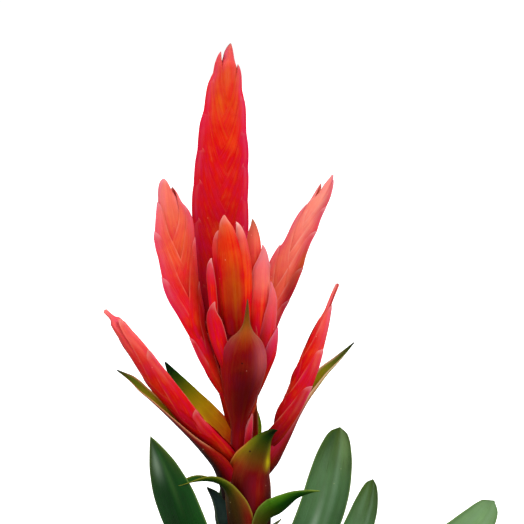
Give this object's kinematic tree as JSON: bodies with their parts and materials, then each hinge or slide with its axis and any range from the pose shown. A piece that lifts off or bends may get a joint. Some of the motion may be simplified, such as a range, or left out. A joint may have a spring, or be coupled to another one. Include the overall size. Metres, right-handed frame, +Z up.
{
  "type": "bromeliad plant in bud",
  "caption": "Bare bromeliad plant with a rosette of arching strap leaves and an upright branched flower head of flat red and coral bract spikes",
  "frame": {"origin": "centre of the flat cut foot of the stem, on the surface the plant stands on", "axes": "+Z up along the stem, -Y towards the front of the plant that the picture shows, +X to the right seen from the front"},
  "size_m": [0.2938, 0.2853, 0.4401],
  "materials": {
    "stem": "matte",
    "leaf": "semi-gloss",
    "scape_bract": "semi-gloss",
    "primary_bract_green": "semi-gloss",
    "primary_bract_red": "semi-gloss",
    "top_spike": "satin",
    "side_spike": "satin"
  },
  "bodies": {
    "root": {"stem": "stem", "top_bract_01": "top_spike", "top_bract_02": "top_spike", "top_bract_03": "top_spike", "top_bract_04": "top_spike", "top_bract_05": "top_spike", "top_bract_06": "top_spike", "top_bract_07": "top_spike", "top_bract_08": "top_spike", "top_bract_09": "top_spike", "top_bract_10": "top_spike", "top_bract_11": "top_spike", "top_bract_12": "top_spike", "top_bract_13": "top_spike", "top_bract_14": "top_spike", "top_bract_15": "top_spike", "top_bract_16": "top_spike", "top_bract_17": "top_spike", "top_bract_18": "top_spike", "left_spike": "side_spike", "right_spike": "side_spike", "low_left_spike": "side_spike", "low_right_spike": "side_spike", "inner_right_spike": "side_spike", "front_spike": "side_spike", "back_spike": "side_spike", "primary_bract_front": "primary_bract_red", "primary_bract_low_left": "primary_bract_green", "primary_bract_low_right": "primary_bract_green", "primary_bract_left": "primary_bract_green", "primary_bract_inner_right": "primary_bract_red", "primary_bract_right": "primary_bract_green", "scape_bract_front": "scape_bract", "scape_bract_left": "scape_bract", "scape_bract_right": "scape_bract", "primary_bract_back": "primary_bract_green", "scape_bract_back": "scape_bract", "scape_bract_low_right": "scape_bract", "scape_bract_low_back": "scape_bract", "scape_bract_low_left": "scape_bract", "scape_bract_low_front": "scape_bract", "leaf_01": "leaf", "leaf_02": "leaf", "leaf_03": "leaf", "leaf_04": "leaf", "leaf_05": "leaf", "leaf_06": "leaf", "leaf_07": "leaf", "leaf_08": "leaf", "leaf_09": "leaf", "leaf_10": "leaf", "leaf_11": "leaf", "leaf_12": "leaf", "leaf_13": "leaf", "leaf_14": "leaf", "leaf_15": "leaf", "leaf_16": "leaf", "leaf_17": "leaf"}
  },
  "joints": []
}
